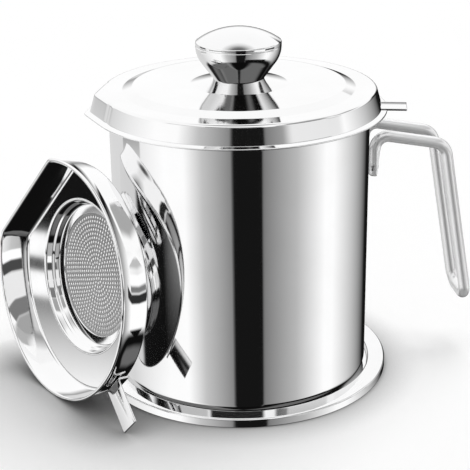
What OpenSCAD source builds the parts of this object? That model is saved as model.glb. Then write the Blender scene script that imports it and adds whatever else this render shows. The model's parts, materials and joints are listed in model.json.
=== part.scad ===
// Grease container: a pot on a coaster tray, with a handle, a pouring spout, a knobbed
// lid, a lift-out strainer in its mouth and a second strainer that stands beside it.
// Millimetres. Z is up and the table is z = 0. The pot's axis is the Z axis, the handle
// points along +X and the spout along -X.

/* [Tray] */
// Width of the tray's raised flange, recess to edge
tray_rim_w = 8.3; // [3:0.1:20]
// Height of the tray's raised flange above the table
tray_h = 4.2; // [3:0.1:10]
// Thickness of the tray's sheet
tray_sheet = 0.8; // [0.5:0.1:1.5]
// Free space all round between the pot and the tray's recess
tray_clearance = 1.6; // [0.5:0.1:3]

/* [Pot] */
// Outer radius of the pot's wall
pot_r = 60; // [50:0.5:70]
// Height of the pot, underside to flange top
pot_h = 128.2; // [120:0.1:150]
// Thickness of the pot's sheet
pot_sheet = 0.8; // [0.6:0.1:1]
// Radius of the corner between the pot's wall and bottom
pot_corner_r = 5; // [2:0.5:10]
// Radius of the turn from the wall into the flange
neck_r = 2.6; // [1.5:0.1:4]
// Width of the flat flange, wall to edge
flange_w = 7.8; // [6.5:0.1:9]
// Bevel on the flange's upper edge
edge_bevel = 0.2; // [0.1:0.05:0.4]
// Angle from the spout's middle to where its straight sides meet the round edge
spout_half_angle = 18; // [10:1:25]

/* [Strainer seat] */
// Thickness of the ring inside the pot that carries the strainer
seat_t = 1.2; // [0.8:0.1:3]
// How far the seat ring's inner edge lies inside the strainer's wall
seat_lap = 3.5; // [2:0.5:8]
// How far the straight cut that opens the ring at the spout lies inside the flat side
seat_cut_in = 3.5; // [2:0.5:8]

/* [Handle] */
// Diameter of the handle's rod
rod_d = 5.4; // [4:0.1:7]
// Distance between the middles of the handle's two legs
rod_spacing = 22; // [18:0.5:36]
// Depth of the handle's upper bend below the flange, at the bend's centre
handle_drop = 21; // [16:1:40]
// Radius of the bend at the wall
wall_bend_r = 6; // [5:0.5:10]
// Radius of the outer bend
outer_bend_r = 8; // [5:0.5:12]
// Radius of the two bends at the handle's foot
foot_bend_r = 7; // [5:0.5:9]
// Straight length of the handle's top run
run_l = 21.6; // [10:0.1:40]
// Slope of the top run below level
run_slope = 10.8; // [0:0.1:20]
// Straight length of the handle's legs
leg_l = 67.5; // [30:0.5:70]
// Angle that the legs lean outwards from upright
leg_lean = 9.8; // [0:0.1:15]
// Length of the rod ends that lie along the wall
stub_l = 13; // [6:0.5:25]
// Depth of the pressed rod ends, from the wall outwards
stub_t = 3.6; // [2.5:0.1:4]
// Radius of the welds that hold the rod ends
weld_r = 3.1; // [2:0.1:4]
// Radius of the welds' crown
weld_crown_r = 2.2; // [1:0.1:2.5]
// Depth of the welds below the upper bend's centre
weld_drop = 7.8; // [5:0.1:12]

/* [Lid] */
// How far the lower edge of the lid's skirt stands inside the flange's edge
skirt_inset = 2.4; // [1:0.1:3.5]
// How far the skirt leans out, from the lid's top edge to the skirt's lower edge
skirt_lean = 2.1; // [0.5:0.1:3]
// Thickness of the lid's sheet
lid_sheet = 0.8; // [0.6:0.1:1.2]
// Radius of the lid's rounded top edge
lid_round = 1.6; // [1:0.1:2.5]
// Width of the flat ring between the lid's top edge and its step
lid_border_w = 9.8; // [5:0.1:14]
// Width of the step's slope
step_w = 5; // [2:0.5:10]
// Height of the step
step_h = 1.9; // [1:0.1:4]
// Radius of the foot of the boss under the knob
boss_r = 22.3; // [18:0.1:30]
// Height of the boss under the knob
boss_h = 2.4; // [1:0.1:5]
// Free space round the strainer's tab in the skirt's notch
notch_clearance = 0.8; // [0.4:0.1:2]

/* [Knob] */
// Radius of the knob where it stands on the lid
knob_foot_r = 11.7; // [8:0.1:14]
// Largest radius of the knob
knob_r = 19.6; // [16:0.1:25]
// Height of the knob's cone, foot to seam
knob_cone_h = 15.2; // [10:0.1:25]
// Radius of the curve that turns the cone's side upright at the seam
knob_shoulder = 13; // [5:0.5:14]
// Angle of that curve, from the cone's side to upright
shoulder_turn = 35; // [20:1:45]
// Height of the knob's cap, seam to crown
knob_cap_h = 7.9; // [5:0.1:12]
// Height of the knob cap's straight edge
cap_edge_h = 1.7; // [1:0.1:3]
// Thickness of the knob cap's sheet
cap_sheet = 0.9; // [0.6:0.1:2]

/* [Knob screw] */
// Radius of the knob screw's thread
screw_r = 2; // [1.5:0.1:3]
// Radius of the screw's head
screw_head_r = 4; // [3:0.1:6]
// Height of the screw's head
screw_head_h = 2.4; // [1.5:0.1:4]
// Length of thread inside the knob
screw_bite = 9; // [5:0.5:12]
// Radius of the washer under the lid
washer_r = 7; // [5:0.5:9]
// Thickness of the washer
washer_t = 0.8; // [0.5:0.1:1.5]
// Free space round the screw in the lid and washer
screw_clearance = 0.2; // [0.1:0.1:0.5]

/* [Strainer] */
// Free space all round between the strainer's rim and the pot's wall
rim_clearance = 3.2; // [1:0.1:5]
// Thickness of the rolled rim
bead_d = 1.6; // [1.2:0.1:2.4]
// Thickness of the strainer's sheet
bowl_sheet = 0.6; // [0.4:0.1:1]
// Depth of the strainer's bowl, rim to underside of the ledge
bowl_depth = 15; // [13:0.5:25]
// How far the bowl tapers in, from its rim to its ledge
bowl_draw = 2.1; // [1:0.1:4]
// Depth of the flat side that leaves the pouring gap, from the round rim in
facet_cut = 9.5; // [6:0.5:12]
// How far the flat side tapers in, from the rim to the ledge
facet_draw = 3; // [1:0.5:4]
// Width of the ledge round the cup
ledge_w = 17.8; // [12:0.1:22]
// How far the cup tapers in, from the ledge to its floor
cup_draw = 1.9; // [1:0.1:3]
// Width of the step round the cup's side
cup_step = 0.8; // [0.4:0.1:1]
// Depth of the cup, ledge underside to floor underside
cup_depth = 6.6; // [4:0.1:12]
// Turn of the fitted strainer about the pot's axis
strainer_turn = -13; // [-20:1:20]

/* [Strainer mesh] */
// Width of the ring that clamps the mesh
clamp_w = 4.9; // [3:0.1:8]
// How far the mesh disc stays inside the clamp ring's edge
mesh_inset = 2.7; // [1:0.1:3]
// Thickness of the mesh disc
mesh_t = 0.4; // [0.2:0.1:1]
// Distance from one ring of holes to the next
hole_pitch = 3.05; // [2.5:0.05:3.2]
// Diameter of each hole
hole_d = 1.7; // [0.8:0.1:2]
// Plain border between the holes and the clamp ring
hole_border = 0.9; // [0.5:0.1:3]
// Thickness of the ring that clamps the mesh
clamp_t = 0.6; // [0.4:0.1:1.2]

/* [Strainer tab] */
// Width of the strainer's lifting tab
tab_w = 11.6; // [8:0.1:16]
// Thickness of the tab's strip
tab_t = 1; // [0.6:0.1:1.5]
// How far the tab's tip reaches past the pot's flange
tab_reach = 8.7; // [4:0.1:16]
// Height from the tab's underside to the top of the rim
tab_drop = 7.9; // [6:0.1:9]
// Height of the tab's welded foot
tab_foot_h = 6; // [4:0.5:7]
// Radius of the spot welds on the tab's foot
spot_r = 1.3; // [0.8:0.1:2]

/* [Standing strainer] */
// Gap between the standing strainer's back and the pot's wall
stand_gap = 0.3; // [0.2:0.1:2]
// Sideways distance from the pot's axis to the middle of the standing rim
stand_side = 26.7; // [0:0.1:40]
// Direction that the standing strainer faces, anticlockwise from the handle
stand_facing = 209.3; // [200:0.1:220]
// Angle that the standing strainer leans back from upright
stand_lean = 7.5; // [5:0.1:8]

/* [Fit] */
// Gap between curved faces that rest on each other
rest_gap = 0.3; // [0.2:0.05:0.5]

/* [Hidden] */
$fn = 96;

// Overshoot of cutting shapes, and a size larger than the whole object
over = 1;
far = 400;
arc_steps = 6;

// Share of the edge's radius at which the spout's sides start
spout_root = 0.985;

// Heights, from the table up
pot_z = tray_sheet;
flange_z = pot_z + pot_h;
handle_z = flange_z - handle_drop;
rim_z = flange_z + tab_drop;
lid_under_z = rim_z + rest_gap;
lid_z = lid_under_z + lid_sheet;
skirt_z = flange_z + rest_gap;
plateau_z = lid_z + step_h;
boss_z = plateau_z + boss_h;
seam_z = boss_z + knob_cone_h;
seat_z = rim_z - bowl_depth;

// Radii of the pot, tray and lid
flange_r = pot_r + flange_w;
pot_bore_r = pot_r - pot_sheet;
recess_r = pot_r + tray_clearance;
tray_r = recess_r + tray_rim_w;
skirt_r = flange_r - skirt_inset;
lid_r = skirt_r - skirt_lean;
step_outer_r = lid_r - lid_border_w;
step_inner_r = step_outer_r - step_w;
rod_r = rod_d / 2;
bead_r = bead_d / 2;

// Radii of the strainer, and the distances of its flat side
rim_r = pot_bore_r - rim_clearance;
bowl_foot_r = rim_r - bowl_draw;
facet_top = rim_r - facet_cut;
facet_foot = facet_top - facet_draw;
cup_r = bowl_foot_r - ledge_w;
cup_floor_r = cup_r - cup_draw;
mesh_window_r = cup_floor_r - clamp_w;
mesh_r = cup_floor_r - mesh_inset;
hole_rings = floor((mesh_window_r - hole_border - hole_d / 2) / hole_pitch);
tab_tip_r = flange_r + tab_reach;
seat_bore_r = bowl_foot_r - seat_lap;
seat_cut = facet_foot - seat_cut_in;

// Where the strainer's wall starts under its rim, and the depth of each layer
wall_top_r = rim_r - bead_r / 2;
cup_floor_z = -bowl_depth - cup_depth;
mesh_z = cup_floor_z - mesh_t;
clamp_z = mesh_z - clamp_t;
wall_taper = (wall_top_r - bowl_foot_r) / (bowl_depth - bead_r);
tab_z = -tab_drop;
tab_foot_x = wall_top_r - wall_taper * (tab_drop - tab_t - bead_r) + rest_gap / 3;

// Points of an arc about [cx, cz], from angle a0 to a1
function arc(cx, cz, r, a0, a1, n = arc_steps) =
    [for (i = [0:n]) let (a = a0 + (a1 - a0) * i / n) [cx + r * cos(a), cz + r * sin(a)]];

// The same profile moved down and in, for the inside of a sheet
function shift(points, dr, dz) = [for (p = points) [p[0] + dr, p[1] + dz]];

// A wedge that adds a straight-sided spout to a turned edge. levels holds [radius, height]
// pairs from low to high; each side runs from just inside the round edge to the tip.
module spout_wedge(levels) {
    b = spout_half_angle;
    n = len(levels);
    points = [for (p = levels) each [
        [0, 0, p[1]],
        [-p[0] * spout_root * cos(b), -p[0] * spout_root * sin(b), p[1]],
        [-p[0] / cos(b), 0, p[1]],
        [-p[0] * spout_root * cos(b), p[0] * spout_root * sin(b), p[1]]]];
    sides = [for (i = [0:n - 2], k = [0:3]) let (a = 4 * i + k, c = 4 * i + (k + 1) % 4)
        each [[a, c, c + 4], [a, c + 4, a + 4]]];
    low = [[3, 2, 1], [3, 1, 0]];
    top = [for (face = [[0, 1, 2], [0, 2, 3]]) [for (k = face) 4 * (n - 1) + k]];
    polyhedron(points, concat(low, sides, top));
}

// A turned solid below the line through [radius, height] points, down to z = base,
// with the spout's wedge added from the first point up
module spouted_solid(levels) {
    n = len(levels);
    rotate_extrude()
        polygon(concat([[0, levels[0][1]]], levels, [[0, levels[n - 1][1]]]));
    spout_wedge(levels);
}

// ---------------------------------------------------------------- tray

module tray() color("gainsboro") rotate_extrude() polygon([
    [0, 0], [recess_r + tray_sheet, 0], [recess_r + tray_sheet, tray_h - tray_sheet],
    [tray_r - tray_sheet, tray_h - tray_sheet], [tray_r - tray_sheet, 0], [tray_r, 0],
    [tray_r, tray_h - tray_sheet / 2], [tray_r - tray_sheet / 2, tray_h],
    [recess_r + tray_sheet / 2, tray_h], [recess_r, tray_h - tray_sheet / 2],
    [recess_r, tray_sheet], [0, tray_sheet]]);

// ---------------------------------------------------------------- pot

// Outline of the pot's outside from its bottom to the flange's edge
pot_outside = concat(
    [[0, pot_z]],
    arc(pot_r - pot_corner_r, pot_z + pot_corner_r, pot_corner_r, -90, 0),
    arc(pot_r + neck_r, flange_z - pot_sheet - neck_r, neck_r, 180, 90));

// Outline of the pot's hollow
pot_hollow = concat(
    [[0, pot_z + pot_sheet]],
    arc(pot_r - pot_corner_r, pot_z + pot_corner_r, pot_corner_r - pot_sheet, -90, 0),
    arc(pot_r + neck_r, flange_z - pot_sheet - neck_r, neck_r + pot_sheet, 180, 90),
    [[pot_r + neck_r, flange_z + over], [0, flange_z + over]]);

flange_levels = [
    [flange_r, flange_z - pot_sheet],
    [flange_r, flange_z - edge_bevel],
    [flange_r - edge_bevel, flange_z]];

module pot_body() color("silver") difference() {
    union() {
        rotate_extrude() polygon(concat(pot_outside, flange_levels, [[0, flange_z]]));
        spout_wedge(flange_levels);
    }
    rotate_extrude() polygon(pot_hollow);
}

module strainer_seat_ring() color("gainsboro") translate([0, 0, seat_z - seat_t])
    linear_extrude(seat_t) difference() {
        circle(pot_bore_r);
        circle(seat_bore_r);
        translate([-far - seat_cut, -far / 2]) square(far);
    }

// ---------------------------------------------------------------- handle

// Distance out from the axis where a rod end just touches the wall
stub_x = sqrt(pow(pot_r + rod_r, 2) - pow(rod_spacing / 2, 2));
run_angle = 90 - run_slope;
wall_bend = [stub_x + wall_bend_r, handle_z];
run_start = wall_bend + wall_bend_r * [cos(run_angle), sin(run_angle)];
run_end = run_start + run_l * [cos(run_slope), -sin(run_slope)];
outer_bend = run_end - outer_bend_r * [cos(run_angle), sin(run_angle)];
leg_start = outer_bend + outer_bend_r * [cos(leg_lean), sin(leg_lean)];
leg_dir = [sin(leg_lean), -cos(leg_lean)];
leg_end = leg_start + leg_l * leg_dir;
rod_sides = 28;
bend_steps = 8;

// One leg from its rod end to its foot, as [x, z, direction of travel, share of the rod
// end's pressing]
stub_steps = 3;
leg_path = concat(
    [for (i = [0:stub_steps - 1]) let (p = 1 - i / stub_steps)
        [stub_x, handle_z - stub_l * p, 90, p]],
    [for (i = [0:bend_steps]) let (a = 180 - (180 - run_angle) * i / bend_steps)
        [wall_bend[0] + wall_bend_r * cos(a), wall_bend[1] + wall_bend_r * sin(a),
         a - 90, 0]],
    [for (i = [0:bend_steps]) let (a = run_angle - (run_angle - leg_lean) * i / bend_steps)
        [outer_bend[0] + outer_bend_r * cos(a), outer_bend[1] + outer_bend_r * sin(a),
         a - 90, 0]]);

// A ring of the +Y leg, pressed flat on its outer side where it lies on the wall
function leg_ring(p) = [for (k = [0:rod_sides - 1])
    let (f = 360 * k / rod_sides, out = rod_r * sin(f),
         limit = p[0] + rod_r - (rod_d - stub_t) * p[3],
         x = p[0] - out * sin(p[2]), z = p[1] + out * cos(p[2]))
    [p[3] > 0 ? min(x, limit) : x, rod_spacing / 2 + rod_r * cos(f), z]];

// A ring of the foot's +Y bend: turn runs from 0 at the leg to 90 at the crossing run
function foot_ring(turn) = [for (k = [0:rod_sides - 1])
    let (f = 360 * k / rod_sides, r = foot_bend_r + rod_r * cos(f),
         down = r * sin(turn), out = rod_r * sin(f))
    [leg_end[0] + down * leg_dir[0] - out * leg_dir[1],
     rod_spacing / 2 - foot_bend_r + r * cos(turn),
     leg_end[1] + down * leg_dir[1] + out * leg_dir[0]]];

function mirrored(ring) = [for (k = [0:rod_sides - 1])
    let (p = ring[k]) [p[0], -p[1], p[2]]];

// A tube with flat ends through equal rings
module tube(rings) {
    n = len(rings);
    m = len(rings[0]);
    polyhedron([for (ring = rings) each ring], concat(
        [[for (k = [0:m - 1]) k]],
        [for (i = [0:n - 2], k = [0:m - 1])
            let (a = i * m + k, b = i * m + (k + 1) % m) each [[a, a + m, b + m], [a, b + m, b]]],
        [[for (k = [m - 1:-1:0]) (n - 1) * m + k]]));
}

module handle_rod() color("silver") {
    half = concat([for (p = leg_path) leg_ring(p)],
        [for (i = [0:bend_steps]) foot_ring(90 * i / bend_steps)]);
    n = len(half);
    tube(concat(half, [for (i = [n - 1:-1:0]) mirrored(half[i])]));
}

module handle_welds() color("gainsboro")
    for (side = [-1, 1])
        rotate([0, 0, side * asin(rod_spacing / 2 / (pot_r + rod_r))])
            translate([pot_r - pot_sheet / 2, 0, handle_z - weld_drop])
                rotate([0, 90, 0])
                    cylinder(h = pot_sheet / 2 + stub_t, r1 = weld_r, r2 = weld_crown_r);

// ---------------------------------------------------------------- lid

// The lid's outer edge, skirt to flat top, as [radius, height]
lid_levels = concat(
    [[skirt_r, skirt_z]],
    arc(lid_r - lid_round, lid_z - lid_round, lid_round, 10, 90, 4));
lid_flat_r = lid_r - lid_round;

// The lid's raised middle, from the flat ring to the boss
lid_rise = [
    [step_outer_r, lid_z], [step_inner_r, plateau_z], [boss_r, plateau_z],
    [knob_foot_r, boss_z]];

module lid_rise_solid(dz) translate([0, 0, dz]) rotate_extrude() polygon(concat(
    [[0, lid_z - over], [step_outer_r, lid_z - over]], lid_rise, [[0, boss_z]]));

module lid_shell() color("silver") difference() {
    union() {
        spouted_solid(lid_levels);
        lid_rise_solid(0);
    }
    spouted_solid(concat(
        [[skirt_r - lid_sheet, skirt_z - over]],
        shift(lid_levels, -lid_sheet, -lid_sheet)));
    lid_rise_solid(-lid_sheet);
    translate([0, 0, lid_z]) cylinder(h = far, r = screw_r + screw_clearance);
    rotate([0, 0, strainer_turn])
        translate([pot_r, -tab_w / 2 - notch_clearance, skirt_z - over])
            cube([far, tab_w + 2 * notch_clearance, over + tab_t + notch_clearance]);
}

// ---------------------------------------------------------------- knob

knob_outside = concat(
    [[0, boss_z], [knob_foot_r, boss_z]],
    arc(knob_r - knob_shoulder, seam_z, knob_shoulder, -shoulder_turn, 0),
    [[0, seam_z]]);

module knob_cone() color("silver") difference() {
    rotate_extrude() polygon(knob_outside);
    translate([0, 0, boss_z - over]) cylinder(h = over + screw_bite, r = screw_r);
}

// A dome of given radius and height that stands on z = 0
module dome(r, h) {
    ball_r = (r * r + h * h) / (2 * h);
    intersection() {
        translate([0, 0, h - ball_r]) sphere(ball_r);
        cylinder(h = h, r = r);
    }
}

module knob_cap() color("silver") translate([0, 0, seam_z]) difference() {
    union() {
        cylinder(h = cap_edge_h, r = knob_r);
        translate([0, 0, cap_edge_h]) dome(knob_r, knob_cap_h - cap_edge_h);
    }
    translate([0, 0, -over]) cylinder(h = over + cap_edge_h, r = knob_r - cap_sheet);
    translate([0, 0, cap_edge_h])
        dome(knob_r - cap_sheet, knob_cap_h - cap_edge_h - cap_sheet);
}

module knob_screw() color("gray") translate([0, 0, boss_z - lid_sheet - washer_t]) {
    translate([0, 0, -screw_head_h]) cylinder(h = screw_head_h, r = screw_head_r);
    cylinder(h = washer_t + lid_sheet + screw_bite, r = screw_r);
}

module knob_washer() color("gray") translate([0, 0, boss_z - lid_sheet - washer_t])
    linear_extrude(washer_t) difference() {
        circle(washer_r);
        circle(screw_r + screw_clearance);
    }

// ---------------------------------------------------------------- strainer
// Built with the top of its rim at z = 0, its flat side towards -X and its tab along +X.

// Everything inside the flat side's plane, moved in by the given distance
module inside_facet(inset) {
    drop = atan2(facet_top - facet_foot, bowl_depth);
    translate([-facet_top + inset, 0, 0]) rotate([0, -drop, 0])
        translate([0, -far / 2, -far / 2]) cube(far);
}

// The cup's side, from the ledge down to the floor
function cup_side(dr) = [
    [cup_r + dr, -bowl_depth],
    [cup_r - cup_step / 2 + dr, -bowl_depth - cup_depth / 2],
    [cup_floor_r + cup_step / 2 + dr, -bowl_depth - cup_depth / 2 - cup_step],
    [cup_floor_r + dr, cup_floor_z]];

module bowl() difference() {
    intersection() {
        union() {
            rotate_extrude() polygon(concat(
                [[0, -bead_r], [wall_top_r, -bead_r], [bowl_foot_r, -bowl_depth]],
                cup_side(0), [[0, cup_floor_z]]));
            translate([0, 0, -bead_r]) rotate_extrude()
                translate([rim_r - bead_r, 0]) circle(bead_r);
        }
        inside_facet(0);
    }
    intersection() {
        rotate_extrude() polygon(concat(
            [[0, over], [wall_top_r - bowl_sheet, over], [wall_top_r - bowl_sheet, -bead_r],
             [bowl_foot_r - bowl_sheet, -bowl_depth + bowl_sheet]],
            shift(cup_side(-bowl_sheet), 0, bowl_sheet),
            [[mesh_window_r, cup_floor_z + bowl_sheet], [mesh_window_r, cup_floor_z - over],
             [0, cup_floor_z - over]]));
        inside_facet(bowl_sheet);
    }
}

module mesh_disc() translate([0, 0, mesh_z]) linear_extrude(mesh_t) difference() {
    circle(mesh_r);
    circle(d = hole_d);
    for (ring = [1:hole_rings], i = [1:6 * ring])
        rotate(60 * i / ring) translate([ring * hole_pitch, 0]) circle(d = hole_d);
}

module mesh_clamp() translate([0, 0, clamp_z]) linear_extrude(clamp_t) difference() {
    circle(cup_floor_r);
    circle(mesh_window_r);
}

module tab() {
    translate([tab_foot_x, -tab_w / 2, tab_z])
        cube([tab_tip_r - tab_foot_x, tab_w, tab_t]);
    translate([tab_foot_x, -tab_w / 2, tab_z + tab_t - tab_foot_h])
        cube([tab_t, tab_w, tab_foot_h]);
}

module tab_spots() for (side = [-1, 1])
    translate([tab_foot_x - bowl_sheet, side * tab_w / 4, tab_z + tab_t - tab_foot_h / 2])
        rotate([0, 90, 0]) cylinder(h = bowl_sheet + tab_t / 2, r = spot_r);

// In the pot's mouth
module fitted() translate([0, 0, rim_z]) rotate([0, 0, strainer_turn]) children();

// On the table: on the side of its rim, propped by a corner of its tab
stand_z = bead_r * (1 + sin(stand_lean)) + (rim_r - bead_r) * cos(stand_lean);
tab_corner_r = norm([tab_tip_r, tab_w / 2]);
tab_half_angle = atan2(tab_w / 2, tab_tip_r);
stand_roll = asin((stand_z - tab_drop * sin(stand_lean)) / (tab_corner_r * cos(stand_lean)))
    - tab_half_angle;

// Distance from the pot's axis to the middle of its rim: each angle is a point on the edge
// of its back, which stays the gap away from the pot's wall
stand_out = -clamp_z * cos(stand_lean) + max([for (a = [0:180])
    cup_floor_r * sin(a) * sin(stand_lean)
    + sqrt(max(0, pow(pot_r + stand_gap, 2) - pow(stand_side - cup_floor_r * cos(a), 2)))]);

module standing()
    rotate([0, 0, stand_facing])
        translate([stand_out, -stand_side, stand_z])
            rotate([0, 90 - stand_lean, 0])
                rotate([0, 0, 90 - stand_roll])
                    children();

module fitted_strainer_bowl() color("silver") fitted() bowl();
module fitted_strainer_mesh() color("gray") fitted() mesh_disc();
module fitted_strainer_mesh_ring() color("gainsboro") fitted() mesh_clamp();
module fitted_strainer_tab() color("silver") fitted() tab();
module fitted_strainer_tab_welds() color("gray") fitted() tab_spots();

module standing_strainer_bowl() color("silver") standing() bowl();
module standing_strainer_mesh() color("gray") standing() mesh_disc();
module standing_strainer_mesh_ring() color("gainsboro") standing() mesh_clamp();
module standing_strainer_tab() color("silver") standing() tab();
module standing_strainer_tab_welds() color("gray") standing() tab_spots();

tray();
pot_body();
strainer_seat_ring();
handle_rod();
handle_welds();
lid_shell();
knob_cone();
knob_cap();
knob_screw();
knob_washer();
fitted_strainer_bowl();
fitted_strainer_mesh();
fitted_strainer_mesh_ring();
fitted_strainer_tab();
fitted_strainer_tab_welds();
standing_strainer_bowl();
standing_strainer_mesh();
standing_strainer_mesh_ring();
standing_strainer_tab();
standing_strainer_tab_welds();
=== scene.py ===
"""Looks of the grease container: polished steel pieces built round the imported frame.

Everything is in metres in the frame's own axes: Z is the pot's axis, the handle points along +X
and the spout along -X. Sizes below are in millimetres and repeat the frame's.
"""
import json
import math

import bpy
import bmesh
import numpy as np
from mathutils import Matrix, Vector
from mathutils.geometry import delaunay_2d_cdt

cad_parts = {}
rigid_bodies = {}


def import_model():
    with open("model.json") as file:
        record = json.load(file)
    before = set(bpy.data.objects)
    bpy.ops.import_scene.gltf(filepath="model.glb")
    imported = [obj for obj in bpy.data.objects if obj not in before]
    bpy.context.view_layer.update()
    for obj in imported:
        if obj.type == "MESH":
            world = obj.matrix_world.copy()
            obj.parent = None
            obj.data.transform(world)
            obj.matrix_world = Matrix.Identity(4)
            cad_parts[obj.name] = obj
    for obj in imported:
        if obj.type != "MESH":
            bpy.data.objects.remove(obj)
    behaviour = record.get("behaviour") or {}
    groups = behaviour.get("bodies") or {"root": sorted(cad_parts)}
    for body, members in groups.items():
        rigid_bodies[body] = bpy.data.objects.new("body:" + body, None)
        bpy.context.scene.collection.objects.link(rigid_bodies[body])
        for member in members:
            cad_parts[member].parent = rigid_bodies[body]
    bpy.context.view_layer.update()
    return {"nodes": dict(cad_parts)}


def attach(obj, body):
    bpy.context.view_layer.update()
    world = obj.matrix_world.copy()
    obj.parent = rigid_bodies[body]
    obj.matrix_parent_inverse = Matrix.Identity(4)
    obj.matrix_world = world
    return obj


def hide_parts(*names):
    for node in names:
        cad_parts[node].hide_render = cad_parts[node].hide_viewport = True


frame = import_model()

MM = 0.001

# ------------------------------------------------------------------ sizes, in millimetres

TRAY_H, TRAY_R, RECESS_R, TRAY_SHEET = 4.2, 69.9, 61.6, 0.8
POT_R, POT_Z, FLANGE_Z, POT_SHEET, CORNER_R, NECK_R = 60.0, 0.8, 129.0, 0.8, 5.0, 2.6
FLANGE_R, SPOUT_HALF = 67.8, 18.0
SKIRT_R, SKIRT_Z, LID_R, LID_Z, LID_ROUND, LID_SHEET = 65.4, 129.3, 63.3, 138.0, 1.6, 0.8
STEP_OUT, STEP_IN, PLATEAU_Z, BOSS_R, BOSS_Z = 53.5, 48.5, 139.9, 22.3, 142.3
KNOB_FOOT, KNOB_R, SEAM_Z, SHOULDER, CAP_EDGE, CAP_H = 11.7, 19.6, 157.5, 13.0, 1.7, 7.9
ROD_R, ROD_SPACING, HANDLE_Z = 2.7, 22.0, 108.0
RIM_R, BEAD_R, BOWL_SHEET, BOWL_DEPTH, BOWL_FOOT = 56.0, 0.8, 0.6, 15.0, 53.9
FACET_TOP, FACET_FOOT, CUP_R, CUP_FLOOR, CUP_DEPTH, CUP_STEP = 46.5, 43.5, 36.1, 34.2, 6.6, 0.8
WINDOW_R, MESH_R, MESH_T = 29.3, 31.5, 0.4
TAB_W, TAB_T, TAB_TIP, TAB_DROP, TAB_FOOT = 11.6, 1.0, 76.5, 7.9, 6.0
STRAINER_TURN, RIM_Z = -13.0, 136.9
STAND_OUT, STAND_SIDE, STAND_FACING, STAND_LEAN = 85.96, 26.7, 209.3, 7.5


# ------------------------------------------------------------------ mesh helpers

def arc(cx, cz, r, a0, a1, n):
    """Points of an arc about (cx, cz), from angle a0 to a1 in degrees."""
    return [(cx + r * math.cos(math.radians(a0 + (a1 - a0) * i / n)),
             cz + r * math.sin(math.radians(a0 + (a1 - a0) * i / n))) for i in range(n + 1)]


def rounded(points, steps=5):
    """A closed outline with its corners rounded. points holds (x, z) or (x, z, radius)."""
    out, n = [], len(points)
    for i, point in enumerate(points):
        radius = point[2] if len(point) > 2 else 0
        p = np.array(point[:2], float)
        if radius <= 0:
            out.append(tuple(p))
            continue
        a = np.array(points[i - 1][:2], float) - p
        b = np.array(points[(i + 1) % n][:2], float) - p
        la, lb = np.linalg.norm(a), np.linalg.norm(b)
        a, b = a / la, b / lb
        half = math.acos(max(-1, min(1, float(a @ b)))) / 2
        reach = min(radius / math.tan(half), 0.49 * la, 0.49 * lb)
        radius = reach * math.tan(half)
        centre = (a + b) / np.linalg.norm(a + b) * radius / math.sin(half) + p
        start, end = p + a * reach - centre, p + b * reach - centre
        turn = math.atan2(start[0] * end[1] - start[1] * end[0], float(start @ end))
        for k in range(steps + 1):
            t = turn * k / steps
            c, s = math.cos(t), math.sin(t)
            out.append((centre[0] + c * start[0] - s * start[1],
                        centre[1] + s * start[0] + c * start[1]))
    return out


def build(name, verts, faces, body, slot, material, replaces=(), sharp=32, place=None):
    """A smooth-shaded piece from points in millimetres."""
    mesh = bpy.data.meshes.new(name)
    points = np.asarray(verts, float) * MM
    if place is not None:
        points = points @ np.array(place.to_3x3()).T + np.array(place.translation)
    mesh.from_pydata([tuple(p) for p in points], [], faces)
    bm = bmesh.new()
    bm.from_mesh(mesh)
    bmesh.ops.remove_doubles(bm, verts=bm.verts, dist=2e-7)
    bmesh.ops.dissolve_degenerate(bm, edges=bm.edges, dist=1e-8)
    bmesh.ops.recalc_face_normals(bm, faces=bm.faces)
    bm.to_mesh(mesh)
    bm.free()
    mesh.polygons.foreach_set("use_smooth", [True] * len(mesh.polygons))
    mesh.set_sharp_from_angle(angle=math.radians(sharp))
    piece = bpy.data.objects.new(name, mesh)
    bpy.context.scene.collection.objects.link(piece)
    mesh.materials.append(material)
    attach(piece, body)
    if replaces:
        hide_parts(*replaces)
    return piece


def loft(rings):
    """Points and faces of a closed skin through equal rings, the last joined to the first."""
    n, m = len(rings), len(rings[0])
    verts = np.concatenate(rings)
    faces = []
    for i in range(n):
        j = (i + 1) % n
        for k in range(m):
            k2 = (k + 1) % m
            faces.append((i * m + k, i * m + k2, j * m + k2, j * m + k))
    return verts, faces


def tube(rings):
    """Points and faces of a tube with two flat ends."""
    n, m = len(rings), len(rings[0])
    verts = np.concatenate(rings)
    faces = [(i * m + k, i * m + (k + 1) % m, (i + 1) * m + (k + 1) % m, (i + 1) * m + k)
             for i in range(n - 1) for k in range(m)]
    faces.append(tuple(range(m - 1, -1, -1)))
    faces.append(tuple((n - 1) * m + k for k in range(m)))
    return verts, faces


ANGLES = np.radians(np.arange(0, 360, 1.0))
LONG_STRAIGHT, BRACE = 2.5, 0.2


def braced(outline):
    """Extra points close to both ends of each long straight, so that it shades straight."""
    out = []
    for i, point in enumerate(outline):
        a, b = np.array(point[:2], float), np.array(outline[(i + 1) % len(outline)][:2], float)
        out.append(tuple(a))
        length = np.linalg.norm(b - a)
        if length > LONG_STRAIGHT:
            out += [tuple(a + (b - a) * BRACE / length), tuple(b - (b - a) * BRACE / length)]
    return out


def turned(outline, radius=None, angles=ANGLES):
    """Rings of a turned solid. radius(r, angles) may push the edge out, as at a spout."""
    rings = []
    for point in braced(outline):
        r, z = point[0], point[1]
        rr = np.full(len(angles), r) if radius is None else radius(r, angles)
        rings.append(np.stack([rr * np.cos(angles), rr * np.sin(angles),
                               np.full(len(angles), z)], 1))
    return rings


# ------------------------------------------------------------------ materials

# how the polishing lines' noise is stretched: (angle, radius, height) or (x, y, z)
ROUND_LINES, LONG_LINES = (0.9, 2600, 2600), (1500, 1500, 60)
WAVE_DEPTH, LINE_DEPTH = 0.00012, 0.00002


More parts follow.
